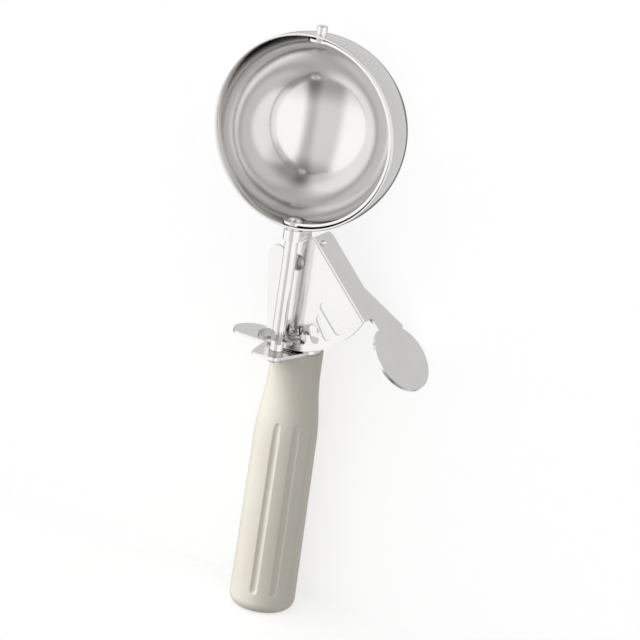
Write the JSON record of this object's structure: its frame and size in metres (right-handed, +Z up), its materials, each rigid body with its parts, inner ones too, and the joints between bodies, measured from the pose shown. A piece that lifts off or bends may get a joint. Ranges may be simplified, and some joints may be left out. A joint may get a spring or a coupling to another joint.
{
  "type": "lever ice cream scoop",
  "caption": "Lever ice cream scoop: round steel bowl with a curved scraper that a thumb lever sweeps round by a slotted fan and pinion, on an ivory plastic grip.",
  "frame": {"origin": "middle of the handle's flat end", "axes": "+Z up the handle to the bowl, the bowl opens towards -Y, the thumb lever is on the +X side"},
  "size_m": [0.0836, 0.0419, 0.22],
  "materials": {
    "handle_plastic": "satin ivory moulding",
    "bowl_steel": "polished stainless steel",
    "blade_steel": "polished stainless steel",
    "lever_steel": "polished stainless sheet",
    "frame_steel": "polished stainless sheet",
    "shaft_steel": "polished stainless rod",
    "pinion_steel": "stamped sheet",
    "rivet_steel": "smooth stainless steel",
    "spring_wire": "drawn wire"
  },
  "bodies": {
    "frame": {"handle": "handle_plastic", "handle_rod": "rivet_steel", "finger_rest_plate": "frame_steel", "foot_rivets": "rivet_steel", "back_plate": "frame_steel", "bowl": "bowl_steel", "bowl_saddle": "frame_steel", "shaft_strap": "frame_steel", "foot_bush": "rivet_steel", "pivot_rivet": "rivet_steel", "pivot_washer": "rivet_steel", "spring_sleeve": "rivet_steel", "rear_washer": "rivet_steel", "return_spring": "spring_wire"},
    "lever": {"thumb_lever": "lever_steel", "lever_bushing": "rivet_steel"},
    "scraper": {"scraper_shaft": "shaft_steel", "pinion": "pinion_steel", "retaining_ring": "rivet_steel", "scraper_blade": "blade_steel", "blade_rivet": "rivet_steel", "top_pivot_pin": "rivet_steel"}
  },
  "joints": [
    {"name": "lever_press", "type": "hinge", "parent": "frame", "child": "lever", "pos_m": [0, -0.0178, 0.1335], "axis": [0, 1, 0], "range_deg": [0, 40], "stiffness_Nm_per_rad": 0.12, "springref_deg": -20.05, "deforming": ["return_spring"]},
    {"name": "scraper_sweep", "type": "hinge", "parent": "frame", "child": "scraper", "pos_m": [0, -0.0178, 0.1005], "axis": [0, 0, 1], "range_deg": [0, 142]}
  ],
  "couplings": [
    {"joint": "scraper_sweep", "follows": "lever_press", "ratio": 3.5294}
  ]
}
